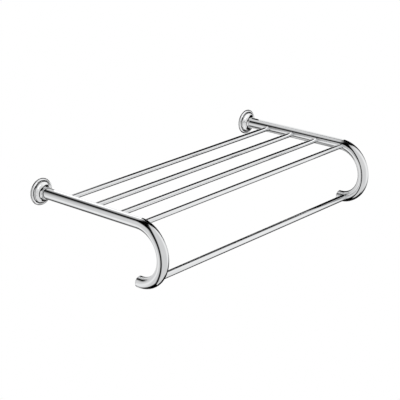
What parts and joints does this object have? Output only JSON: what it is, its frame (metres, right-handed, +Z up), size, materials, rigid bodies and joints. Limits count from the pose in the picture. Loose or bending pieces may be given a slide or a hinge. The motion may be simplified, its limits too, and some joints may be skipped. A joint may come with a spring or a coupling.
{
  "type": "towel rack with shelf",
  "caption": "Chrome wall rack: two hooked tube arms on round rosettes carry a shelf of thin bars above a towel bar.",
  "frame": {"origin": "on the wall's surface, midway between the two arms, at the height of the arms' axes", "axes": "+X along the wall from arm_left to arm_right, +Y into the wall, +Z up; the rack stands out along -Y"},
  "size_m": [0.6524, 0.3265, 0.1503],
  "materials": {
    "chrome": "polished",
    "steel": "zinc plated, satin",
    "brass": "as turned",
    "rubber": "matt"
  },
  "bodies": {
    "root": {"arm_left": "chrome", "arm_right": "chrome", "rosette_left": "chrome", "rosette_right": "chrome", "shelf_bar_1": "chrome", "shelf_bar_2": "chrome", "shelf_bar_3": "chrome", "shelf_bar_4": "chrome", "towel_bar": "chrome", "end_cap_left": "chrome", "end_cap_right": "chrome", "wall_plate_left": "steel", "wall_plate_right": "steel", "arm_socket_left": "brass", "arm_socket_right": "brass", "socket_screw_left": "steel", "socket_screw_right": "steel", "grub_screw_left": "steel", "grub_screw_right": "steel", "rosette_ring_left": "rubber", "rosette_ring_right": "rubber"}
  },
  "joints": []
}
